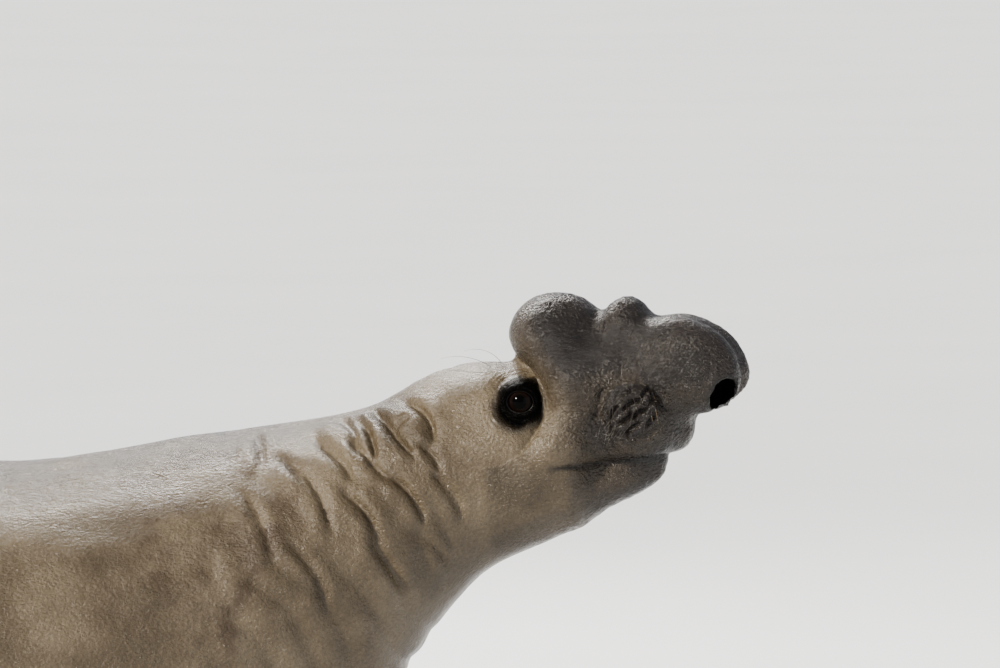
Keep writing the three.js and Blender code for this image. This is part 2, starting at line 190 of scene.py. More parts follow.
def mergedNode(node):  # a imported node's loose triangles, joined at their corners
    part = bmesh.new()
    part.from_mesh(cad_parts[node].data)
    bmesh.ops.remove_doubles(part, verts=part.verts, dist=skinBase["mergeWithin"])
    return part


def swollenCopy(node):
    part = mergedNode(node)
    part.normal_update()
    for v in part.verts:
        v.co += v.normal * skinBase["swell"]
    return bpy.data.objects.new(node + "Copy", meshOf(part, node + "Copy"))


def joinedFlesh():
    copies = [swollenCopy(node) for node in fleshNodes]
    base, others = copies[0], bpy.data.collections.new("fleshCopies")
    bpy.context.scene.collection.objects.link(base)
    bpy.context.scene.collection.children.link(others)
    for copy in copies[1:]:
        others.objects.link(copy)
    union = base.modifiers.new("union", "BOOLEAN")
    union.operation, union.operand_type, union.solver = "UNION", "COLLECTION", "MANIFOLD"
    union.collection = others
    mesh = bpy.data.meshes.new_from_object(base.evaluated_get(bpy.context.evaluated_depsgraph_get()))
    for copy in copies:
        copyMesh = copy.data
        bpy.data.objects.remove(copy)
        bpy.data.meshes.remove(copyMesh)
    bpy.data.collections.remove(others)
    bm = bmesh.new()
    bm.from_mesh(mesh)
    for _ in range(skinBase["cutRounds"]):  # shorter edges, because the next space isn't straight
        longEdges = [e for e in bm.edges if e.calc_length() > skinBase["longestEdge"]]
        bmesh.ops.subdivide_edges(bm, edges=longEdges, cuts=1)
        bmesh.ops.triangulate(bm, faces=bm.faces)
    bm.to_mesh(mesh)
    bm.free()
    return mesh


def largestIsland(mesh):
    edges = edgesOf(mesh)
    label = np.arange(len(mesh.vertices))
    while True:
        low = np.minimum(label[edges[:, 0]], label[edges[:, 1]])
        new = label.copy()
        np.minimum.at(new, edges[:, 0], low)
        np.minimum.at(new, edges[:, 1], low)
        new = new[new]
        if (new == label).all():
            break
        label = new
    keep = label == np.bincount(label).argmax()
    bm = bmesh.new()
    bm.from_mesh(mesh)
    bmesh.ops.delete(bm, geom=[v for v, kept in zip(bm.verts, keep) if not kept], context="VERTS")
    bm.to_mesh(mesh)
    bm.free()


def relaxed(points, edges, strength, rounds):  # smooths without shrinking
    count = np.maximum(np.bincount(edges.ravel(), minlength=len(points)), 1)[:, None]
    for step in skinBase["steps"] * rounds:
        total = np.zeros_like(points)
        for axis in range(3):
            total[:, axis] = (
                np.bincount(edges[:, 0], points[edges[:, 1], axis], len(points))
                + np.bincount(edges[:, 1], points[edges[:, 0], axis], len(points)))
        points = points + step * strength[:, None] * (total / count - points)
    return points


def remeshed():
    mesh = joinedFlesh()
    setCoordinates(mesh, stretched(coordinates(mesh)))
    flesh = newObject("flesh", mesh)
    remesh = flesh.modifiers.new("remesh", "REMESH")
    remesh.mode = "VOXEL"
    remesh.voxel_size = skinBase["voxel"]
    skinMesh = bpy.data.meshes.new_from_object(flesh.evaluated_get(bpy.context.evaluated_depsgraph_get()))
    bpy.data.objects.remove(flesh)
    bpy.data.meshes.remove(mesh)
    skinMesh.name = "skin"
    largestIsland(skinMesh)
    setCoordinates(skinMesh, unstretched(coordinates(skinMesh)))
    return skinMesh


def flipperShare(points):  # 1 on the flippers, whose thin edges are smoothed less
    share = np.zeros(len(points))
    for node in [n for n in fleshNodes if "flipper" in n]:
        low, high = (np.array(corner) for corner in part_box(node))
        away = np.maximum(np.maximum(low - points, points - high), 0).max(axis=1)
        share = np.maximum(share, ramp(away, skinBase["flipperReach"], 0.0))
    return share


skinMesh = remeshed()
print("skin remeshed:", len(skinMesh.vertices), "points")
points = coordinates(skinMesh)
softness = np.interp(points[:, 0], *np.array(skinBase["softness"]).T)
softness = softness * (1 - skinBase["flipperHold"] * flipperShare(points))
points = relaxed(points, edgesOf(skinMesh), softness, skinBase["rounds"])
setCoordinates(skinMesh, points)


# Finer faces where the small folds are: the sides of the face, then close round each eye
fineAreas = [
    {"low": (-150, 60, -120), "high": (330, 190, 75)},
    {"low": (-330, 60, -250), "high": (-150, 330, 40)},
    {"low": (-52, 90, -52), "high": (56, 190, 52)},
    {"low": (178, 50, -78), "high": (312, 190, 54)},
    {"low": (380, 0, -50), "high": (500, 140, 90)},
]
fineRelax = {"ahead": (-420, -330), "strength": 0.8, "rounds": 5}


def subdivideFine(mesh, area):
    bm = bmesh.new()
    bm.from_mesh(mesh)
    bm.faces.ensure_lookup_table()
    middles = inHead([f.calc_center_median() for f in bm.faces])
    middles[:, 1] = abs(middles[:, 1])
    inside = ((middles > area["low"]) & (middles < area["high"])).all(axis=1)
    edges = {e for f, chosen in zip(bm.faces, inside) if chosen for e in f.edges}
    bmesh.ops.subdivide_edges(bm, edges=list(edges), cuts=1, use_grid_fill=True)
    bm.to_mesh(mesh)
    bm.free()


for area in fineAreas:
    subdivideFine(skinMesh, area)
points = coordinates(skinMesh)
onFace = ramp(inHead(points)[:, 0], *fineRelax["ahead"])
points = relaxed(points, edgesOf(skinMesh), fineRelax["strength"] * onFace, fineRelax["rounds"])
setCoordinates(skinMesh, points)
print("finer face:", len(skinMesh.vertices), "points")


# The larger folds and rims of the face and neck, in millimetres of the head's frame.
# A pair gives where an effect begins and where it is full.
eyeRim = {
    "at": (-66, -20), "radius": 117, "wander": [(2, 40, 3)],
    "stand": 22, "least": 0.4, "rise": (-4, 48), "fall": (150, 48),  # ahead of its line
    "sink": 10, "sinkFade": 15, "edge": (-2.5, 3.5),  # behind its line
    "side": (25, 60), "below": (-58, -26), "above": (92, 58),  # the last two in degrees round the eye
}
whiskerPad = {
    "at": (244, -10), "across": 64, "tall": 60,
    "near": (110, 100, 40),  # its wrinkles reach this far ahead and up, from this far to the side
    "swell": 7, "swellLevel": (1.15, 0.6), "side": (40, 75), "wander": [(0.09, 34, 8)],
    "groove": 8, "grooveLevel": 1.08, "grooveWidth": 9, "topShare": 1.1,
    "rear": (115, 150), "topBegin": (-5, 15), "topEnd": (60, 35),  # in degrees round the pad
    "rows": 7, "columns": 7, "apart": 18.5, "rowApart": 16.5, "slope": 0.06, "filled": 0.9,
    "jitterAhead": 3, "jitterUp": 2.5, "seed": 5,
    "dome": 3, "domeWidth": 6.5, "pit": 3.5, "pitWidth": 2.6, "squash": 1.15, "smallLevel": (1.15, 0.8),
    "warpAhead": [(4, 22, 11)], "warpUp": [(4, 22, 12)], "lumps": [(3, 17, 13)],
    "crease": 9, "creaseBegin": (-0.15, 0.2), "creaseEnd": (1.15, 0.8),
    "creaseProfile": [(0.55, -8, 5), (0.35, 7, 5), (-1, 0, 3)],
}
# Slanting creases of the whisker pad: start and end (ahead of the eyes, above them), bow,
# share of the full depth
padFolds = [
    (204, -38, 219, 2, 3, 1), (220, -46, 248, -14, -4, 1), (230, -10, 270, 10, 4, 1),
    (222, 22, 258, 42, -3, 0.8), (252, -34, 286, -8, 3, 1), (268, 14, 286, 48, -2, 0.9),
    (192, 10, 198, -42, -3, 0.7), (236, -64, 270, -38, 3, 0.9), (212, 8, 232, 40, 3, 0.5),
    (280, -50, 304, -22, 2, 0.7), (284, -2, 304, 26, -2, 0.7), (198, -60, 214, -44, 2, 0.6),
]
# Folds of the neck in the side view: start and end (ahead of the eyes, above them), bow, depth
neckFolds = [
    (-270, -8, -208, -74, 16, 15), (-368, -20, -250, -110, 10, 17), (-262, -38, -300, -66, 0, 6),
    (-384, -50, -330, -116, 12, 14), (-436, -46, -376, -96, 14, 13), (-468, -88, -384, -156, 8, 16),
    (-398, -92, -310, -150, 6, 12), (-245, -84, -190, -140, 8, 10),
    (-300, -150, -226, -246, 12, 13), (-402, -178, -322, -290, 14, 14), (-500, -136, -420, -256, 14, 13),
    (-206, -150, -146, -240, 12, 11), (-600, -90, -572, -132, 6, 8), (-548, -118, -486, -170, 8, 8),
    (-330, -300, -270, -400, 8, 11), (-500, -290, -430, -420, 12, 12), (-610, -190, -540, -320, 10, 9),
    (-240, -270, -180, -350, 8, 9),
]
neckShape = {
    "turnShare": 0.8, "side": (60, 130), "behind": (20, -60), "wander": [(5, 70, 4)],
    "begin": (-0.2, 0.25), "end": (1.2, 0.8),  # shares of a fold's length
    "profile": [(0.62, -24, 15), (0.3, 20, 13), (-0.8, 0, 5), (-0.3, -6, 9)],
}
throatRolls = {
    "slope": 0.67, "from": -130, "apart": 92, "height": 9, "blunt": 0.02, "base": 0.6,
    "wander": [(34, 150, 6)], "patches": [(1, 210, 7)], "patchFrom": (-0.5, 0.3),
    "below": (-190, -300), "rear": (-700, -520), "front": (-60, -160),
}
blubber = {
    "rear": (-300, -700), "above": (-900, -760),
    "along": (1, 0.6, 0.6), "broad": [(11, 260, 9)], "small": [(4, 110, 10)],
}
looseSkin = {"ahead": (-60, 60), "swells": [(1.6, 55, 1), (0.9, 24, 2)]}
mouthLine = {
    "corner": (70, -143), "front": (352, -112), "begin": (-0.08, 0.08),
    "profile": [(-4, 0, 3.6), (2.5, 13, 7), (2.5, -13, 7)],
}
nostril = {
    "at": (436, 58, 20), "out": 42, "down": 16, "across": 31, "tall": 41,
    "rimOut": (1.7, 1.3), "rimIn": (0.5, 0.7), "rimAhead": (360, 390), "relax": 0.95, "rounds": 45,
}
brow = {"at": (-82, 76, 66), "reach": 6, "height": 3}


def besideCurve(x, z, start, end, bow):  # distance from a bowed line, and the share of the way along it
    start, end = np.array(start), np.array(end)
    way = end - start
    length = np.hypot(*way)
    share = ((x - start[0]) * way[0] + (z - start[1]) * way[1]) / length ** 2
    off = ((z - start[1]) * way[0] - (x - start[0]) * way[1]) / length
    return off - bow * 4 * share * (1 - share), share


def pastRim(x, z):  # how far outside the circle of the eye's rim
    return np.hypot(x - eyeRim["at"][0], z - eyeRim["at"][1]) - eyeRim["radius"]


def padPlace(x, z):  # ahead of and above the middle of the whisker pad
    return x - whiskerPad["at"][0], z - whiskerPad["at"][1]


def padLevel(x, z):  # 0 in the middle of the whisker pad and 1 at its edge
    ahead, above = padPlace(x, z)
    return np.hypot(ahead / whiskerPad["across"], above / whiskerPad["tall"])


def padFollicles():
    random.seed(whiskerPad["seed"])
    spots = []
    pad = whiskerPad
    for row in range(pad["rows"]):
        for column in range(pad["columns"]):
            x = (column - (pad["columns"] - 1) / 2 + (row % 2) / 2) * pad["apart"]
            x = x + random.uniform(-pad["jitterAhead"], pad["jitterAhead"])
            z = (row - (pad["rows"] - 1) / 2) * pad["rowApart"] - pad["slope"] * x
            z = z + random.uniform(-pad["jitterUp"], pad["jitterUp"])
            if (x / pad["across"]) ** 2 + (z / pad["tall"]) ** 2 < pad["filled"]:
                spots.append((pad["at"][0] + x, pad["at"][1] + z))
    return spots


follicles = padFollicles()


def rimForms(h):  # the rim that stands up in front of the eye
    x, y, z = h.T
    turn = np.degrees(np.arctan2(z - eyeRim["at"][1], x - eyeRim["at"][0]))
    off = pastRim(x, z) + swells(h, eyeRim["wander"])
    stand = eyeRim["least"] + (1 - eyeRim["least"]) * ramp(off, *eyeRim["rise"])
    ahead = eyeRim["stand"] * stand * ramp(off, *eyeRim["fall"])
    behind = -eyeRim["sink"] * np.exp(np.minimum(off, 0) / eyeRim["sinkFade"])
    step = ramp(off, *eyeRim["edge"])
    along = ramp(turn, *eyeRim["below"]) * ramp(turn, *eyeRim["above"])
    return ramp(abs(y), *eyeRim["side"]) * along * (ahead * step + behind * (1 - step))


def padForms(h):  # the whisker pad swells, with a groove behind and above it
    x, y, z = h.T
    pad = whiskerPad
    ahead, above = padPlace(x, z)
    level = padLevel(x, z) + swells(h, pad["wander"])
    turn = np.degrees(np.arctan2(above, ahead))
    radius = (pad["across"] + pad["tall"]) / 2
    edge = bell((level - pad["grooveLevel"]) * radius, pad["grooveWidth"])
    rear = ramp(abs(turn), *pad["rear"])
    top = ramp(turn, *pad["topBegin"]) * ramp(turn, *pad["topEnd"])
    groove = pad["groove"] * edge * np.maximum(rear, pad["topShare"] * top)
    return ramp(abs(y), *pad["side"]) * (pad["swell"] * ramp(level, *pad["swellLevel"]) - groove)


def faceForms(h):
    x, y, z = h.T
    off, share = besideCurve(x, z, mouthLine["corner"], mouthLine["front"], 0)
    lips = ramp(share, *mouthLine["begin"]) * profile(off, mouthLine["profile"])
    loose = ramp(x, *looseSkin["ahead"]) * swells(h, looseSkin["swells"])
    return rimForms(h) + padForms(h) + lips + loose


def neckForms(h):
    x, y, z = h.T
    lift = np.zeros(len(h))
    # the folds are given in the side view, which is turned from the head by its yaw
    yaw = math.atan2(headAhead.y, headAhead.x)
    seenX = x * math.cos(yaw) + neckShape["turnShare"] * abs(y) * math.sin(yaw)
    side = ramp(abs(y), *neckShape["side"]) * ramp(x, *neckShape["behind"])
    wander = swells(h, neckShape["wander"])
    for startX, startZ, endX, endZ, bow, depth in neckFolds:
        off, share = besideCurve(seenX, z, (startX, startZ), (endX, endZ), bow)
        ends = ramp(share, *neckShape["begin"]) * ramp(share, *neckShape["end"])
        lift = lift + side * ends * depth * profile(off + wander, neckShape["profile"])
    # looser rolls under the neck, which run on from the folds
    rolls = throatRolls
    along = seenX + rolls["slope"] * (z - rolls["from"]) + swells(h, rolls["wander"])
    low = ramp(z, *rolls["below"]) * ramp(x, *rolls["rear"]) * ramp(x, *rolls["front"])
    low = low * ramp(swells(h, rolls["patches"]), *rolls["patchFrom"])
    wave = np.sqrt(np.sin(along * math.pi / rolls["apart"]) ** 2 + rolls["blunt"]) - rolls["base"]
    lift = lift + low * rolls["height"] * wave
    # slow swells of blubber along the body
    body = ramp(x, *blubber["rear"]) * ramp(z, *blubber["above"])
    return lift + body * (swells(h * blubber["along"], blubber["broad"]) + swells(h, blubber["small"]))


def nostrilLevel(h, side):
    at = np.array(nostril["at"]) * (1, side, 1)
    out, down = math.radians(nostril["out"]) * side, math.radians(nostril["down"])
    axis = np.array([math.cos(down) * math.cos(out), math.cos(down) * math.sin(out), -math.sin(down)])
    q = h - at
    along = q @ axis
    across = q - along[:, None] * axis
    level = np.hypot(across[:, 0], across[:, 1]) / nostril["across"]
    return np.hypot(level, across[:, 2] / nostril["tall"]), along


h = inHead(points)
for side in sides.values():  # an even edge round each nostril
    level, _ = nostrilLevel(h, side)
    atRim = ramp(level, *nostril["rimOut"]) * ramp(level, *nostril["rimIn"])
    atRim = atRim * ramp(h[:, 0], *nostril["rimAhead"])
    points = relaxed(points, edgesOf(skinMesh), nostril["relax"] * atRim, nostril["rounds"])
setCoordinates(skinMesh, points)
h = inHead(points)
normals = normalsOf(skinMesh)
points = points + normals * ((faceForms(h) + neckForms(h)) * mm)[:, None]
setCoordinates(skinMesh, points)
print("large folds shaped")

# Small wrinkles: follicles of the pad, rings behind the eye, creases round the bulbs
eyeRings = {
    "apart": 9.5, "depth": 1.5, "inner": (52, 62), "outer": (100, 72),
    "turn": (62, 30), "side": (60, 90), "wander": [(2.5, 18, 14)],
}
fineSkin = {
    "ahead": (-40, 60), "crease": 0.9, "creaseSize": 13, "creaseSeed": 15, "creaseWidth": 0.14,
    "stretch": (1, 1, 0.6), "grain": [(0.7, 9, 16)],
}


def padWrinkles(h):  # a dome with a pit at each follicle, and slanting creases with fat lips
    pad = whiskerPad
    warpX = h[:, 0] + swells(h, pad["warpAhead"])
    warpZ = h[:, 2] + swells(h, pad["warpUp"])
    lift = swells(h, pad["lumps"])
    for spotX, spotZ in follicles:
        away = np.hypot(warpX - spotX, (warpZ - spotZ) * pad["squash"])
        lift += pad["dome"] * bell(away, pad["domeWidth"]) - pad["pit"] * bell(away, pad["pitWidth"])
    for startX, startZ, endX, endZ, bow, share in padFolds:
        off, along = besideCurve(warpX, warpZ, (startX, startZ), (endX, endZ), bow)
        ends = ramp(along, *pad["creaseBegin"]) * ramp(along, *pad["creaseEnd"])
        lift += pad["crease"] * share * ends * profile(off, pad["creaseProfile"])
    return lift * ramp(padLevel(h[:, 0], h[:, 2]), *pad["smallLevel"])


def smallForms(h):
    x, y, z = h.T
    lift = np.zeros(len(h))
    ahead, above = padPlace(x, z)
    nearAhead, nearAbove, nearSide = whiskerPad["near"]
    nearPad = (abs(ahead) < nearAhead) & (abs(above) < nearAbove) & (abs(y) > nearSide)
    lift[nearPad] = padWrinkles(h[nearPad])
    # rings of thin skin behind and round the eye
    away = np.hypot(x, z)
    turn = np.degrees(np.arctan2(z, -x))
    window = ramp(away, *eyeRings["inner"]) * ramp(away, *eyeRings["outer"])
    window = window * ramp(abs(turn), *eyeRings["turn"]) * ramp(abs(y), *eyeRings["side"])
    wave = np.sin((away + swells(h, eyeRings["wander"])) * 2 * math.pi / eyeRings["apart"])
    lift = lift + eyeRings["depth"] * window * wave
    # fine creases all over the nose and face
    crease = noise(h * fineSkin["stretch"], fineSkin["creaseSize"], fineSkin["creaseSeed"])
    crease = bell(crease, fineSkin["creaseWidth"])
    fine = swells(h, fineSkin["grain"]) - fineSkin["crease"] * crease
    lift = lift + ramp(x, *fineSkin["ahead"]) * fine
    # the brow's little mound, where two long hairs root
    away = np.linalg.norm(np.column_stack([x, abs(y), z]) - brow["at"], axis=1)
    return lift + brow["height"] * bell(away, brow["reach"])


h = inHead(points)
normals = normalsOf(skinMesh)
points = points + normals * (smallForms(h) * mm)[:, None]
print("small folds shaped")

# Lids: the skin is drawn up to a round opening over each eyeball, and under the ball inside it
eye = {
    "radius": 37, "across": 30, "tall": 25, "out": (0.06, 1, 0.05),
    "lidOver": 4, "reach": 64, "deepest": -30, "blend": 9, "slope": 0.12,
    "lidFolds": [(2.2, 6, 4), (-1.5, 14, 3)],
    "snap": 1.6, "inset": 0.1, "under": 8, "ballLeast": 10,
}


def eyeFrame(side):
    at = np.array([0, side * abs(inHead([eyeMiddle["Left"]])[0, 1]), 0])
    out = unit(np.array(eye["out"]) * (1, side, 1))
    up = unit(np.array([0, 0, 1]) - out * out[2])
    return at, out, np.cross(up, out) * side, up


def openingEdge(turn):
    return 1 / np.hypot(np.cos(turn) / eye["across"], np.sin(turn) / eye["tall"])


def ballHeight(away):
    return np.sqrt(np.maximum(eye["radius"] ** 2 - away ** 2, eye["ballLeast"] ** 2))


def shapeLids(h, side):
    at, out, ahead, up = eyeFrame(side)
    q = h - at
    depth, u, v = q @ out, q @ ahead, q @ up
    away, turn = np.hypot(u, v), np.arctan2(v, u)
    edge = openingEdge(turn)
    near = (away < eye["reach"]) & (depth > eye["deepest"])
    snapped = np.where(np.abs(away - edge) < eye["snap"], edge, away)
    past = np.maximum(snapped - edge, 0)
    lid = ballHeight(edge) + eye["lidOver"] + eye["slope"] * past + profile(past, eye["lidFolds"])
    inside = snapped < edge - eye["inset"]
    share = ramp(away, eye["reach"], edge + eye["blend"])
    target = np.where(inside, ballHeight(snapped) - eye["under"], depth * (1 - share) + lid * share)
    flat = np.cos(turn)[:, None] * ahead + np.sin(turn)[:, None] * up
    moved = at + snapped[:, None] * flat + target[:, None] * out
    return np.where(near[:, None], moved, h)


h = inHead(points)
for side in sides.values():
    h = shapeLids(h, side)
points = fromHead(h)
points[:, 2] = np.maximum(points[:, 2], 0)
setCoordinates(skinMesh, points)
print("lids shaped")

# Marks that the skin's material reads: how dark each place is (with painted shade under the chin), the black
# painted shade of the hollows, the paler painted light on top and how brown each place is
darkAndChinShadeMark = {
    "edge": (-4, 8), "ahead": (-75, -45), "least": 0.25, "patches": [(0.16, 60, 21)],
    "slant": 0.4, "front": (40, 150), "frontShare": 0.65, "high": (40, 110), "highShare": 0.35,
    "pad": (1.15, 0.9), "padSide": (30, 60),
    "jaw": (60, 160), "jawBelow": (-90, -140), "jawShare": 0.75,
}
# painted shade: the black in the eye's hollow, in the nostrils and along the mouth's crease
paintedShadeMark = {
    "at": 2, "squash": 0.94, "hollow": (76, 42), "wander": [(4, 22, 23)], "side": (70, 95), "edge": (3, -2),
    "nostril": (1.75, 0.75), "nostrilWander": [(0.1, 20, 24)], "out": (90, 20), "in": (-80, -40),
    "mouthShare": 0.8, "mouthWidth": 4, "mouthBegin": (-0.05, 0.05),
}
# painted light: paler on the top of the head behind the eye, and a painted highlight along the ridge between
# the nostrils
paintedLightMark = {
    "above": (10, 70), "behind": (-60, -110), "rear": (-520, -300),
    "ridgeWidth": 9, "ridgeAhead": (330, 400), "ridgeAbove": (-20, 40), "ridgeShare": 0.6,
}
brownMark = {"rear": (-860, -700), "front": (-380, -480), "least": 0.6, "patches": [(0.7, 90, 22)]}


def darkAndChinShadeOf(h):  # the darker nose and whisker pad, and painted shade under the chin
    x, y, z = h.T
    mark = darkAndChinShadeMark
    infront = ramp(pastRim(x, z), *mark["edge"]) * ramp(x, *mark["ahead"])
    dark = mark["least"] + mark["frontShare"] * ramp(x + mark["slant"] * z, *mark["front"])
    dark = dark + mark["highShare"] * ramp(z, *mark["high"]) + swells(h, mark["patches"])
    pad = ramp(padLevel(x, z), *mark["pad"]) * ramp(abs(y), *mark["padSide"])
    # painted shade: darker under the chin and the lower jaw
    jaw = mark["jawShare"] * ramp(x, *mark["jaw"]) * ramp(z, *mark["jawBelow"])
    return np.maximum(np.maximum(infront * dark, pad), jaw)


def paintedShadeOf(h):  # painted shade: black in the eye's hollow over its dark skin, in the nostrils and along the line of the mouth
    x, y, z = h.T
    mark = paintedShadeMark
    around = np.hypot(x - mark["at"], z * mark["squash"]) + swells(h, mark["wander"])
    paintedShade = ramp(around, *mark["hollow"]) * ramp(abs(y), *mark["side"])
    paintedShade = paintedShade * ramp(pastRim(x, z), *mark["edge"])
    for side in sides.values():
        level, along = nostrilLevel(h, side)
        inside = ramp(level + swells(h, mark["nostrilWander"]), *mark["nostril"])
        inside = inside * ramp(along, *mark["out"]) * ramp(along, *mark["in"])
        paintedShade = np.maximum(paintedShade, inside)
    # a thin line of painted shade along the crease of the mouth
    off, share = besideCurve(x, z, mouthLine["corner"], mouthLine["front"], 0)
    mouth = mark["mouthShare"] * bell(off, mark["mouthWidth"]) * ramp(share, *mark["mouthBegin"])
    return np.maximum(paintedShade, mouth)


def paintedLightOf(h):  # painted light: paler on top over and behind the eye, and a painted highlight on the ridge between the nostrils
    x, y, z = h.T
    mark = paintedLightMark
    pale = ramp(z, *mark["above"]) * ramp(x, *mark["behind"]) * ramp(x, *mark["rear"])
    litRidge = bell(y, mark["ridgeWidth"]) * ramp(x, *mark["ridgeAhead"]) * ramp(z, *mark["ridgeAbove"])
    return np.maximum(pale, mark["ridgeShare"] * litRidge)


def brownness(h):  # rusty patches on the neck
    x = h[:, 0]
    patches = brownMark["least"] + swells(h, brownMark["patches"])
    return ramp(x, *brownMark["rear"]) * ramp(x, *brownMark["front"]) * patches


h = inHead(points)
marks = {"noseDarkChinShade": darkAndChinShadeOf(h), "hollow": paintedShadeOf(h), "pale": paintedLightOf(h), "brown": brownness(h)}
for name, values in marks.items():
    attribute = skinMesh.attributes.new(name, "FLOAT", "POINT")
    attribute.data.foreach_set("value", np.clip(values, 0, 1).astype(np.float32))
skinMesh.polygons.foreach_set("use_smooth", [True] * len(skinMesh.polygons))
skinObject = newObject("skin", skinMesh)
print("skin marked")


# Materials
noiseRoughness = 0.55


def newMaterial(name):
    material = bpy.data.materials.new(name)
    material.use_nodes = True
    return material, material.node_tree, material.node_tree.nodes["Principled BSDF"]


def noiseNode(tree, scale, detail, stretch=None):
    node = tree.nodes.new("ShaderNodeTexNoise")
    node.inputs["Scale"].default_value = scale
    node.inputs["Detail"].default_value = detail
    node.inputs["Roughness"].default_value = noiseRoughness
    coordinate = tree.nodes.new("ShaderNodeTexCoord")
    if stretch:
        mapping = tree.nodes.new("ShaderNodeMapping")
        mapping.inputs["Scale"].default_value = stretch
        tree.links.new(coordinate.outputs["Object"], mapping.inputs["Vector"])
        tree.links.new(mapping.outputs["Vector"], node.inputs["Vector"])
    else:
        tree.links.new(coordinate.outputs["Object"], node.inputs["Vector"])
    return node.outputs["Fac"]


def rampNode(tree, value, stops):
    node = tree.nodes.new("ShaderNodeValToRGB")
    elements = node.color_ramp.elements
    elements[0].position, elements[0].color = stops[0][0], (*stops[0][1], 1)
    elements[1].position, elements[1].color = stops[-1][0], (*stops[-1][1], 1)
    for position, colour in stops[1:-1]:
        elements.new(position).color = (*colour, 1)
    tree.links.new(value, node.inputs["Fac"])
    return node.outputs["Color"]


def levelNode(tree, value, low, high, toLow=0.0, toHigh=1.0):
    node = tree.nodes.new("ShaderNodeMapRange")
    node.inputs["From Min"].default_value = low
    node.inputs["From Max"].default_value = high
    node.inputs["To Min"].default_value = toLow
    node.inputs["To Max"].default_value = toHigh
    tree.links.new(value, node.inputs["Value"])
    return node.outputs["Result"]


def mathNode(tree, operation, a, b):
    node = tree.nodes.new("ShaderNodeMath")
    node.operation = operation
    for socket, value in zip(node.inputs, (a, b)):
        if isinstance(value, (int, float)):
            socket.default_value = value
        else:
            tree.links.new(value, socket)
    return node.outputs["Value"]


def mixNode(tree, share, a, b):  # its colour sockets are 6 and 7, and the colour comes out of 2
    node = tree.nodes.new("ShaderNodeMix")
    node.data_type = "RGBA"
    for socket, value in ((node.inputs[0], share), (node.inputs[6], a), (node.inputs[7], b)):
        if isinstance(value, tuple):
            socket.default_value = (*value, 1)
        elif isinstance(value, (int, float)):
            socket.default_value = value
        else:
            tree.links.new(value, socket)
    return node.outputs[2]


def attributeNode(tree, name):
    node = tree.nodes.new("ShaderNodeAttribute")
    node.attribute_name = name
    return node.outputs["Fac"]


def bumpNode(tree, shader, heights):  # heights: (value, distance in metres), largest form first
    normal = None
    for value, distance in heights:
        bump = tree.nodes.new("ShaderNodeBump")
        bump.inputs["Strength"].default_value = 1.0
        bump.inputs["Distance"].default_value = distance
        tree.links.new(value, bump.inputs["Height"])
        if normal:
            tree.links.new(normal, bump.inputs["Normal"])
        normal = bump.outputs["Normal"]
    tree.links.new(normal, shader.inputs["Normal"])


skinLook = {
    "tan": [(0.3, (0.042, 0.031, 0.018)), (0.5, (0.083, 0.063, 0.039)), (0.7, (0.14, 0.112, 0.075))],
    "dark": [(0.3, (0.005, 0.004, 0.0032)), (0.5, (0.013, 0.0098, 0.0078)), (0.7, (0.032, 0.024, 0.019))],
    "paintedShade": (0.0015, 0.0013, 0.0012),
    "scarAndSheenPale": (0.25, 0.228, 0.195),
    "rust": (0.036, 0.022, 0.012),
    "roughLow": 0.15, "roughHigh": 0.3, "ior": 1.45,
    "wet": 0.45, "inShade": 0.04,  # how much light the skin mirrors, and its shaded copy under the deepest painted shade
    "shadedFrom": 0.82,
    # noises: scale and detail
    "blotch": (5.5, 6.0), "paintedGlintSpeck": (160, 3.0), "rustPatch": (16, 5.0), "gloss": (22, 4.0),
    "scar": (9, 1.5), "scarPatch": (4.3, 1.0), "coarse": (42, 3.0), "fur": (170, 2.0), "grain": (420, 2.0),
    "scarStretch": (1.0, 1.0, 3.2), "furStretch": (0.7, 1.0, 1.0), "scarWidth": 0.0035,
    # the part of each noise that counts, from none to full
    "rustLevel": (0.42, 0.62), "scarLevel": (0.55, 0.66), "glossLevel": (0.3, 0.7), "furLevel": (0.0, 0.8),
    # shares of each in the colour
    "blotchShare": 0.7, "paintedGlintShare": 0.3, "rustShare": 0.8, "scarShare": 0.55, "paintedLightShare": 0.55,
    "furOnTan": 0.45,  # the fur's height on the tan skin, against 1 on the nose
    "coarseHigh": 0.003, "furHigh": 0.0068, "grainHigh": 0.0016, "scarHigh": 0.001,  # metres
}


def scaled(tree, value, share):
    return mathNode(tree, "MULTIPLY", value, share)


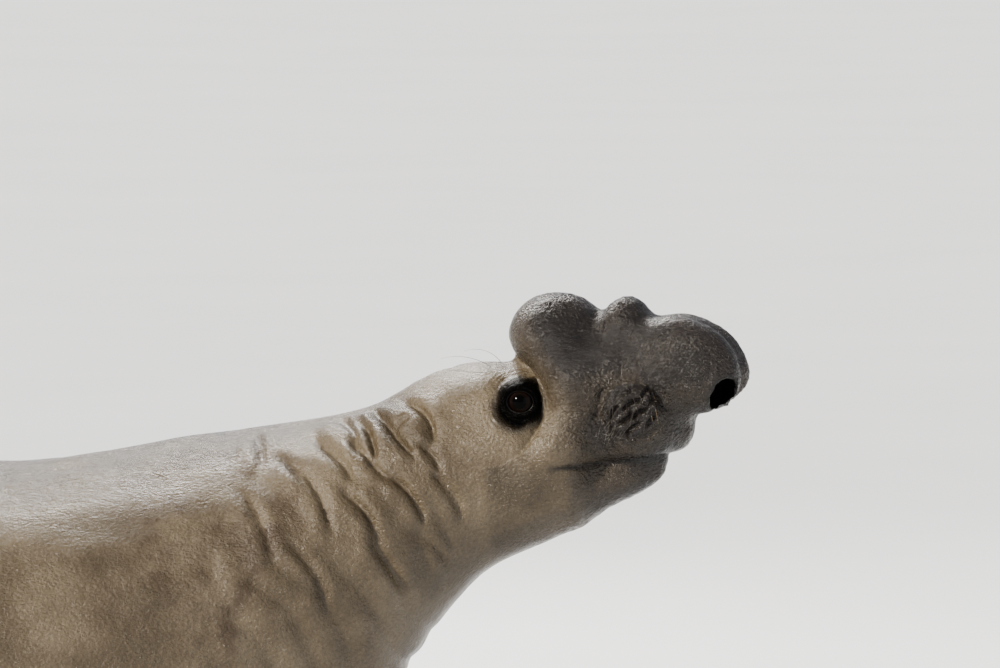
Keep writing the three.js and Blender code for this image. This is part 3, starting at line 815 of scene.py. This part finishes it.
def skinMaterial(name, mirrored):
    material, tree, shader = newMaterial(name)
    look = skinLook
    blotch = scaled(tree, noiseNode(tree, *look["blotch"]), look["blotchShare"])
    # specks in the colour: painted glints on the wet fur
    paintedGlintSpeck = scaled(tree, noiseNode(tree, *look["paintedGlintSpeck"]), look["paintedGlintShare"])
    tone = mathNode(tree, "ADD", blotch, paintedGlintSpeck)
    tan = rampNode(tree, tone, look["tan"])
    dark = rampNode(tree, tone, look["dark"])
    patches = levelNode(tree, noiseNode(tree, *look["rustPatch"]), *look["rustLevel"])
    patches = mathNode(tree, "MULTIPLY", attributeNode(tree, "brown"), patches)
    tan = mixNode(tree, scaled(tree, patches, look["rustShare"]), tan, look["rust"])
    # old scars and scratches: thin pale lines where a noise crosses its middle
    scar = mathNode(tree, "SUBTRACT", noiseNode(tree, *look["scar"], stretch=look["scarStretch"]), 0.5)
    scar = levelNode(tree, mathNode(tree, "ABSOLUTE", scar, 0), look["scarWidth"], 0.0)
    scarred = levelNode(tree, noiseNode(tree, *look["scarPatch"]), *look["scarLevel"])
    scar = mathNode(tree, "MULTIPLY", scar, scarred)
    tan = mixNode(tree, scaled(tree, scar, look["scarShare"]), tan, look["scarAndSheenPale"])
    # painted light: paler on the top of the head and on the nostrils' ridge
    pale = scaled(tree, attributeNode(tree, "pale"), look["paintedLightShare"])
    tan = mixNode(tree, pale, tan, look["scarAndSheenPale"])
    # the darker nose and pad, with painted shade under the chin
    colour = mixNode(tree, attributeNode(tree, "noseDarkChinShade"), tan, dark)
    # painted shade: black in the eye's hollows, the nostrils and the mouth's line
    colour = mixNode(tree, attributeNode(tree, "hollow"), colour, look["paintedShade"])
    tree.links.new(colour, shader.inputs["Base Color"])
    gloss = noiseNode(tree, *look["gloss"])
    rough = levelNode(tree, gloss, *look["glossLevel"], look["roughLow"], look["roughHigh"])
    tree.links.new(rough, shader.inputs["Roughness"])
    shader.inputs["IOR"].default_value = look["ior"]
    shader.inputs["Specular IOR Level"].default_value = mirrored
    coarse = noiseNode(tree, *look["coarse"])
    fur = noiseNode(tree, *look["fur"], stretch=look["furStretch"])
    furShare = levelNode(tree, attributeNode(tree, "noseDarkChinShade"), *look["furLevel"], look["furOnTan"], 1.0)
    fur = mathNode(tree, "MULTIPLY", fur, furShare)
    grain = noiseNode(tree, *look["grain"])
    bumpNode(tree, shader, [(coarse, look["coarseHigh"]), (fur, look["furHigh"]),
                            (grain, look["grainHigh"]), (scar, look["scarHigh"])])
    return material


eyeLook = {
    "fibre": (260, 4.0), "fibreShare": 0.06, "rough": 0.1, "mirrored": 0.07,
    "tones": [(0.4, (0.001, 0.001, 0.001)), (0.48, (0.005, 0.003, 0.002)),
              (0.62, (0.008, 0.0045, 0.003)), (0.74, (0.002, 0.0015, 0.0015))],  # by angle from the gaze
    "swell": (40, 1.0), "swellHigh": 0.0003,
}


def eyeMaterial():
    material, tree, shader = newMaterial("wetEye")
    fibre = scaled(tree, noiseNode(tree, *eyeLook["fibre"]), eyeLook["fibreShare"])
    ring = mathNode(tree, "ADD", attributeNode(tree, "gaze"), fibre)
    tree.links.new(rampNode(tree, ring, eyeLook["tones"]), shader.inputs["Base Color"])
    shader.inputs["Roughness"].default_value = eyeLook["rough"]
    shader.inputs["Specular IOR Level"].default_value = eyeLook["mirrored"]
    bumpNode(tree, shader, [(noiseNode(tree, *eyeLook["swell"]), eyeLook["swellHigh"])])
    return material


rimLook = {
    "tones": [(0.3, (0.003, 0.0025, 0.002)), (0.8, (0.009, 0.007, 0.006))], "patch": (220, 3.0),
    "rough": 0.3, "mirrored": 0.15, "grain": (420, 2.0), "grainHigh": 0.0006,
}


def rimMaterial():
    material, tree, shader = newMaterial("lidRim")
    colour = rampNode(tree, noiseNode(tree, *rimLook["patch"]), rimLook["tones"])
    tree.links.new(colour, shader.inputs["Base Color"])
    shader.inputs["Roughness"].default_value = rimLook["rough"]
    shader.inputs["Specular IOR Level"].default_value = rimLook["mirrored"]
    bumpNode(tree, shader, [(noiseNode(tree, *rimLook["grain"]), rimLook["grainHigh"])])
    return material


hornLook = {
    "tones": [(0.3, (0.012, 0.009, 0.007)), (0.55, (0.04, 0.03, 0.022)), (0.8, (0.11, 0.085, 0.06))],
    "streak": (60, 5.0), "streakStretch": (0.5, 3.0, 3.0), "streakHigh": 0.0012,
    "gloss": (120, 3.0), "glossLevel": (0.3, 0.7), "roughLow": 0.3, "roughHigh": 0.6,
    "grain": (500, 2.0), "grainHigh": 0.0004,
}


def hornMaterial():
    material, tree, shader = newMaterial("clawHorn")
    streak = noiseNode(tree, *hornLook["streak"], stretch=hornLook["streakStretch"])
    tree.links.new(rampNode(tree, streak, hornLook["tones"]), shader.inputs["Base Color"])
    gloss = noiseNode(tree, *hornLook["gloss"])
    rough = levelNode(tree, gloss, *hornLook["glossLevel"], hornLook["roughLow"], hornLook["roughHigh"])
    tree.links.new(rough, shader.inputs["Roughness"])
    grain = noiseNode(tree, *hornLook["grain"])
    bumpNode(tree, shader, [(streak, hornLook["streakHigh"]), (grain, hornLook["grainHigh"])])
    return material


whiskerLook = {
    "dark": [(0.3, (0.012, 0.009, 0.007)), (0.55, (0.03, 0.021, 0.014)), (0.8, (0.07, 0.048, 0.03))],
    "pale": [(0.3, (0.12, 0.08, 0.045)), (0.55, (0.26, 0.19, 0.11)), (0.8, (0.4, 0.32, 0.2))],
    "patch": (90, 3.0), "rough": 0.3, "grain": (700, 2.0), "grainHigh": 0.0002,
}


def whiskerMaterial(name, tones):
    material, tree, shader = newMaterial(name)
    colour = rampNode(tree, noiseNode(tree, *whiskerLook["patch"]), tones)
    tree.links.new(colour, shader.inputs["Base Color"])
    shader.inputs["Roughness"].default_value = whiskerLook["rough"]
    bumpNode(tree, shader, [(noiseNode(tree, *whiskerLook["grain"]), whiskerLook["grainHigh"])])
    return material


skinMesh.materials.clear()
skinMesh.materials.append(skinMaterial("wetSkin", skinLook["wet"]))
skinMesh.materials.append(skinMaterial("shadedSkin", skinLook["inShade"]))
# faces deep in the painted shade take the shaded copy of the skin, which mirrors less light
for face in skinMesh.polygons:
    face.material_index = int(marks["hollow"][face.vertices[0]] > skinLook["shadedFrom"])
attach(skinObject, "root")
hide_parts(*fleshNodes)
print("skin finished:", sum(len(f.vertices) - 2 for f in skinMesh.polygons), "triangles")

# Eyeballs, with a raised cornea and a dark iris, and a wet rim round each
eyeBall = {"segments": 48, "rings": 32, "cornea": 1.6, "corneaReach": 0.42}
lidRim = {"thick": 2.4, "segments": 56, "section": 10, "spinRadius": 100, "over": 2.3}
wetEye = eyeMaterial()
wetRim = rimMaterial()


def eyePlace(side):  # a matrix from the eye's own frame, whose z looks out, to the model's
    at, out, ahead, up = (np.asarray(v) for v in eyeFrame(side))
    turn = Matrix([headAxes.T @ v for v in (ahead, up, out)]).transposed()
    return Matrix.Translation(fromHead([at])[0]) @ turn.to_4x4()


def smoothPiece(name, bm, *looks):
    mesh = meshOf(bm, name)
    mesh.polygons.foreach_set("use_smooth", [True] * len(mesh.polygons))
    for look in looks:
        mesh.materials.append(look)
    return newObject(name, mesh)


def makeEye(name, side):
    bm = bmesh.new()
    bmesh.ops.create_uvsphere(bm, u_segments=eyeBall["segments"], v_segments=eyeBall["rings"],
                              radius=eye["radius"] * mm)
    gaze = []
    for v in bm.verts:
        angle = v.co.angle(Vector((0, 0, 1)))
        v.co *= 1 + eyeBall["cornea"] / eye["radius"] * math.exp(-((angle / eyeBall["corneaReach"]) ** 2))
        gaze.append(angle)
    bmesh.ops.transform(bm, matrix=eyePlace(side), verts=bm.verts)
    bmesh.ops.recalc_face_normals(bm, faces=bm.faces)
    made = smoothPiece("eye" + name, bm, wetEye)
    made.data.attributes.new("gaze", "FLOAT", "POINT").data.foreach_set("value", gaze)
    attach(made, "root")
    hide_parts("eye_" + name.lower())


def makeRim(name, side):  # the wet edge of the lids, a thin ring that follows the opening
    bm = bmesh.new()
    far = lidRim["spinRadius"]
    section = bmesh.ops.create_circle(bm, segments=lidRim["section"], radius=lidRim["thick"])["verts"]
    bmesh.ops.rotate(bm, verts=section, matrix=Matrix.Rotation(math.pi / 2, 3, "X"))
    bmesh.ops.translate(bm, verts=section, vec=(far, 0, 0))
    bmesh.ops.spin(bm, geom=bm.verts[:] + bm.edges[:], axis=(0, 0, 1), cent=(0, 0, 0), dvec=(0, 0, 0),
                   angle=2 * math.pi, steps=lidRim["segments"], use_merge=True)
    for v in bm.verts:
        turn = math.atan2(v.co.y, v.co.x)
        edge = float(openingEdge(turn))
        away = math.hypot(v.co.x, v.co.y) - far + edge
        height = float(ballHeight(edge)) + lidRim["over"] + v.co.z
        v.co = Vector((away * math.cos(turn), away * math.sin(turn), height)) * mm
    bmesh.ops.transform(bm, matrix=eyePlace(side), verts=bm.verts)
    bmesh.ops.recalc_face_normals(bm, faces=bm.faces)
    made = smoothPiece("lidRim" + name, bm, wetRim)
    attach(made, "root")


for name, side in sides.items():
    makeEye(name, side)
    makeRim(name, side)
print("eyes made")

# Claws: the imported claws, rounded
claws = {"each": 5, "rounding": 2}
clawHorn = hornMaterial()


def makeClaws(name):
    bm = bmesh.new()
    nodes = ["claw_%s_%d" % (name.lower(), k + 1) for k in range(claws["each"])]
    for node in nodes:
        mesh = meshOf(mergedNode(node), "claw")
        bm.from_mesh(mesh)
        bpy.data.meshes.remove(mesh)
    made = smoothPiece("claws" + name, bm, clawHorn)
    rounding = made.modifiers.new("rounding", "SUBSURF")
    rounding.levels = rounding.render_levels = claws["rounding"]
    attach(made, "root")
    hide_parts(*nodes)


for name in sides:
    makeClaws(name)
print("claws made")

# Whiskers: tapered hairs rooted on the skin. Each one's OFBake patch lies at its root,
# on an unwrap of the head.
whiskers = {
    "sections": 7, "rings": 9, "tip": 0.22, "thick": 0.62, "thinnest": 0.8, "thickest": 1.15,
    "shortest": 24, "longest": 66, "shorterAhead": 0.3, "sunk": 3, "patch": 0.003,
    "outward": 0.5, "back": -0.25, "aheadShare": 0.4, "down": -0.85, "jitter": 0.15,
    "droop": (0.15, 0.35), "droopBack": -0.05, "droopIn": -0.1,
    "paleFrom": 286, "share": 0.72,  # those ahead of paleFrom are pale, and not every follicle shows its hair
    "across": (0.13, 0.21, 0.97), "probe": 400, "seed": 17,
    "unwrapUp": 60, "unwrapBack": 220, "unwrapLong": 760,  # the place and length of the unwrap
}
browHairs = [  # root, a point it bends towards, tip: in the head's frame, for the left side
    ((-84, 74, 70), (-130, 92, 104), (-186, 96, 88)),
    ((-80, 82, 62), (-118, 100, 58), (-178, 108, 66)),
]
whiskerSkins = [
    whiskerMaterial("darkWhisker", whiskerLook["dark"]),
    whiskerMaterial("paleWhisker", whiskerLook["pale"]),
]
skinTree = BVHTree.FromObject(skinObject, bpy.context.evaluated_depsgraph_get())


def onSkin(x, z, side):  # the skin's point and outward normal at x, z in the head's side view
    start = Vector(fromHead([(x, side * whiskers["probe"], z)])[0])
    way = Vector(headAxes.T @ np.array([0, -side, 0]))
    hit, normal, _, _ = skinTree.ray_cast(start, way)
    return inHead([hit])[0], headAxes @ np.array(normal)


def plainHair():  # a straight tapered hair along z, from -0.5 to 0.5
    bm = bmesh.new()
    bm.loops.layers.uv.new("OFBake")
    bmesh.ops.create_cone(bm, cap_ends=True, segments=whiskers["sections"], radius1=1,
                          radius2=whiskers["tip"], depth=1)
    upright = [e for e in bm.edges if abs(e.verts[0].co.z - e.verts[1].co.z) > 0.5]
    bmesh.ops.subdivide_edges(bm, edges=upright, cuts=whiskers["rings"])
    return meshOf(bm, "plainHair")


hairPattern = plainHair()


def droopingLine(start, way, drop, length):
    return lambda t: start + length * (t * way + t * t * drop)


def bentLine(start, bend, tip):
    return lambda t: (1 - t) ** 2 * start + 2 * t * (1 - t) * bend + t * t * tip


def addHair(bm, layer, middleLine, thick, patch, look):
    before, facesBefore = len(bm.verts), len(bm.faces)
    bm.from_mesh(hairPattern)
    bm.verts.ensure_lookup_table()
    bm.faces.ensure_lookup_table()
    for face in bm.faces[facesBefore:]:
        for loop in face.loops:
            place = loop.vert.co
            u = patch[0] + whiskers["patch"] * 0.5 * place.x
            loop[layer].uv = (u, patch[1] + whiskers["patch"] * place.z)
        face.material_index = look
    for v in bm.verts[before:]:
        t = v.co.z + 0.5
        middle = middleLine(t)
        ahead = unit(middleLine(t + 0.01) - middle)
        across = unit(np.cross(ahead, whiskers["across"]))
        other = np.cross(ahead, across)
        v.co = Vector(fromHead([middle + thick * (v.co.x * across + v.co.y * other)])[0])


def unwrapped(h):  # a place on an unwrap of the head, from 0 to 1 each way
    turn = math.atan2(h[1], h[2] + whiskers["unwrapUp"])
    return 0.5 + turn / (2 * math.pi), (h[0] + whiskers["unwrapBack"]) / whiskers["unwrapLong"]


def makeWhiskers(name, side):
    random.seed(whiskers["seed"] + side)
    hair = whiskers
    bm = bmesh.new()
    layer = bm.loops.layers.uv.new("OFBake")
    for x, z in follicles:
        if random.random() > hair["share"]:
            continue
        root, normal = onSkin(x, z, side)
        share = (x - whiskerPad["at"][0]) / whiskerPad["across"] * 0.5 + 0.5
        length = random.uniform(hair["shortest"], hair["longest"]) * (1 - hair["shorterAhead"] * share)
        jitter = np.array([random.uniform(-hair["jitter"], hair["jitter"]) for _ in range(3)])
        lean = np.array([hair["back"] + hair["aheadShare"] * share, 0, hair["down"]])
        way = unit(hair["outward"] * normal + lean + jitter)
        drop = np.array([hair["droopBack"], hair["droopIn"] * side, -random.uniform(*hair["droop"])])
        line = droopingLine(root - hair["sunk"] * normal, way, drop, length)
        thick = hair["thick"] * random.uniform(hair["thinnest"], hair["thickest"])
        addHair(bm, layer, line, thick, unwrapped(root), int(x > hair["paleFrom"]))
    for rootAt, bend, tip in browHairs:
        root, normal = onSkin(rootAt[0], rootAt[2], side)
        mirror = np.array([1, side, 1])
        line = bentLine(root - hair["sunk"] * normal, np.array(bend) * mirror, np.array(tip) * mirror)
        addHair(bm, layer, line, hair["thick"], unwrapped(root), 0)
    bmesh.ops.recalc_face_normals(bm, faces=bm.faces)
    made = smoothPiece("whiskers" + name, bm, *whiskerSkins)
    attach(made, "root")


for name, side in sides.items():
    makeWhiskers(name, side)
print("whiskers made")

# Floor, lights and camera
studio = {
    "floor": 240, "floorCuts": 12, "floorTone": (0.85, 0.86, 0.87), "floorDarker": 0.96,
    "floorPatch": (0.8, 3.0), "floorRough": 0.85,
    "worldTone": (0.9, 0.93, 1.0), "worldStrength": 0.62,
    "key": {"from": (-0.75, -0.55, 0.5), "angle": 5, "strength": 6.6, "colour": (1.0, 0.94, 0.84)},
    "contrast": "AgX - Medium High Contrast",
    "lights": [  # name, where from the head, size, watts, colour
        ("fill", (3.0, -4.5, 1.4), 4.0, 60, (0.88, 0.93, 1.0)),
        ("back", (-1.0, 4.2, 3.2), 2.0, 200, (1.0, 0.97, 0.92)),
    ],
    "cameraAway": 20, "elevation": 5, "seenWidth": 2.174, "aim": (-0.076, 0, 0.1375),
    "sensor": 36, "farthest": 400,
}


def makeStage():
    bm = bmesh.new()
    bmesh.ops.create_grid(bm, x_segments=studio["floorCuts"], y_segments=studio["floorCuts"],
                          size=studio["floor"] / 2)
    material, tree, shader = newMaterial("floorPaint")
    darker = tuple(studio["floorDarker"] * c for c in studio["floorTone"])
    patches = noiseNode(tree, *studio["floorPatch"])
    tone = rampNode(tree, patches, [(0.3, darker), (0.7, studio["floorTone"])])
    tree.links.new(tone, shader.inputs["Base Color"])
    shader.inputs["Roughness"].default_value = studio["floorRough"]
    mesh = meshOf(bm, "floor")
    mesh.materials.append(material)
    floor = newObject("floor", mesh)


def aim(made, way):  # lamps and the camera look along their own -z
    made.rotation_euler = way.to_track_quat("-Z", "Y").to_euler()


def makeLights():
    for name, away, size, watts, colour in studio["lights"]:
        light = bpy.data.lights.new(name, "AREA")
        light.size, light.energy, light.color = size, watts, colour
        lamp = newObject(name, light)
        lamp.location = headAt + Vector(away)
        aim(lamp, -Vector(away))
    key = studio["key"]
    sun = bpy.data.lights.new("key", "SUN")
    sun.angle, sun.energy, sun.color = math.radians(key["angle"]), key["strength"], key["colour"]
    aim(newObject("key", sun), -Vector(key["from"]))
    world = bpy.data.worlds.new("studio")
    world.use_nodes = True
    sky = world.node_tree.nodes["Background"]
    sky.inputs["Color"].default_value = (*studio["worldTone"], 1)
    sky.inputs["Strength"].default_value = studio["worldStrength"]
    bpy.context.scene.world = world
    bpy.context.scene.view_settings.look = studio["contrast"]


def makeCamera():
    lens = bpy.data.cameras.new("camera")
    lens.sensor_width = studio["sensor"]
    lens.lens = studio["sensor"] * studio["cameraAway"] / studio["seenWidth"]
    lens.clip_end = studio["farthest"]
    camera = newObject("camera", lens)
    rise = math.radians(studio["elevation"])
    target = headAt + Vector(studio["aim"])
    camera.location = target + studio["cameraAway"] * Vector((0, -math.cos(rise), math.sin(rise)))
    aim(camera, target - camera.location)
    bpy.context.scene.camera = camera


makeStage()
makeLights()
makeCamera()
print("stage set")
